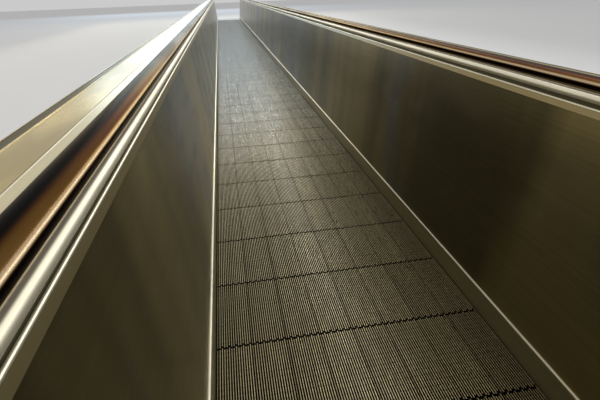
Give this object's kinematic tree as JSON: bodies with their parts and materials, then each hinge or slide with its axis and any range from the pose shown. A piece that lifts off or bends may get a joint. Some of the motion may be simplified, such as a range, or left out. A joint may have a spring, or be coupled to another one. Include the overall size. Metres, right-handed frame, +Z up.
{
  "type": "moving walkway",
  "caption": "Level moving walkway: ridged metal pallets between two leaning stainless balustrades with rounded newels, black handrail loops, wide outer decks, combs and landing plates.",
  "frame": {"origin": "on the floor under the middle of the walkway, halfway along and halfway across", "axes": "+Y along the travel, +X across to the right of a rider who looks along +Y, +Z up"},
  "size_m": [1.982, 26.2, 1.14],
  "materials": {
    "structural_steel": "painted, matt dark grey",
    "tread_alloy": "die-cast ridges, worn bright on top",
    "comb_alloy": "satin",
    "floor_plate": "fine ribbed stainless",
    "cladding_steel": "brushed stainless, grain along the travel",
    "panel_steel": "brushed stainless, dark, soft reflections",
    "polished_trim": "polished stainless",
    "skirt_steel": "brushed stainless with a low-friction finish",
    "cap_steel": "satin stainless",
    "guide_steel": "dark coated steel",
    "belt_rubber": "black, glossy from hands",
    "collar_rubber": "black moulded",
    "deck_steel": "brushed stainless, bright"
  },
  "bodies": {
    "root": {"base_aprons": "cladding_steel", "comb_plates": "floor_plate", "cross_members": "structural_steel", "entry_comb_segments": "comb_alloy", "exit_comb_segments": "comb_alloy", "handrail_inlets": "collar_rubber", "landing_plates": "floor_plate", "left_balustrade_brackets": "structural_steel", "left_deck_edge": "polished_trim", "left_exterior_cladding": "cladding_steel", "left_handrail": "belt_rubber", "left_handrail_guide": "guide_steel", "left_inner_deck": "deck_steel", "left_interior_panels": "panel_steel", "left_newel_fronts": "cladding_steel", "left_newels": "panel_steel", "left_outer_deck": "deck_steel", "left_panel_cap": "cap_steel", "left_rail_bead": "polished_trim", "left_skirt": "skirt_steel", "left_skirt_bead": "polished_trim", "pallet_tracks": "structural_steel", "pallets_bay_1": "tread_alloy", "pallets_bay_2": "tread_alloy", "pallets_bay_3": "tread_alloy", "pallets_bay_4": "tread_alloy", "pallets_bay_5": "tread_alloy", "pallets_bay_6": "tread_alloy", "right_balustrade_brackets": "structural_steel", "right_deck_edge": "polished_trim", "right_exterior_cladding": "cladding_steel", "right_handrail": "belt_rubber", "right_handrail_guide": "guide_steel", "right_inner_deck": "deck_steel", "right_interior_panels": "panel_steel", "right_newel_fronts": "cladding_steel", "right_newels": "panel_steel", "right_outer_deck": "deck_steel", "right_panel_cap": "cap_steel", "right_rail_bead": "polished_trim", "right_skirt": "skirt_steel", "right_skirt_bead": "polished_trim", "side_beams": "structural_steel"}
  },
  "joints": []
}
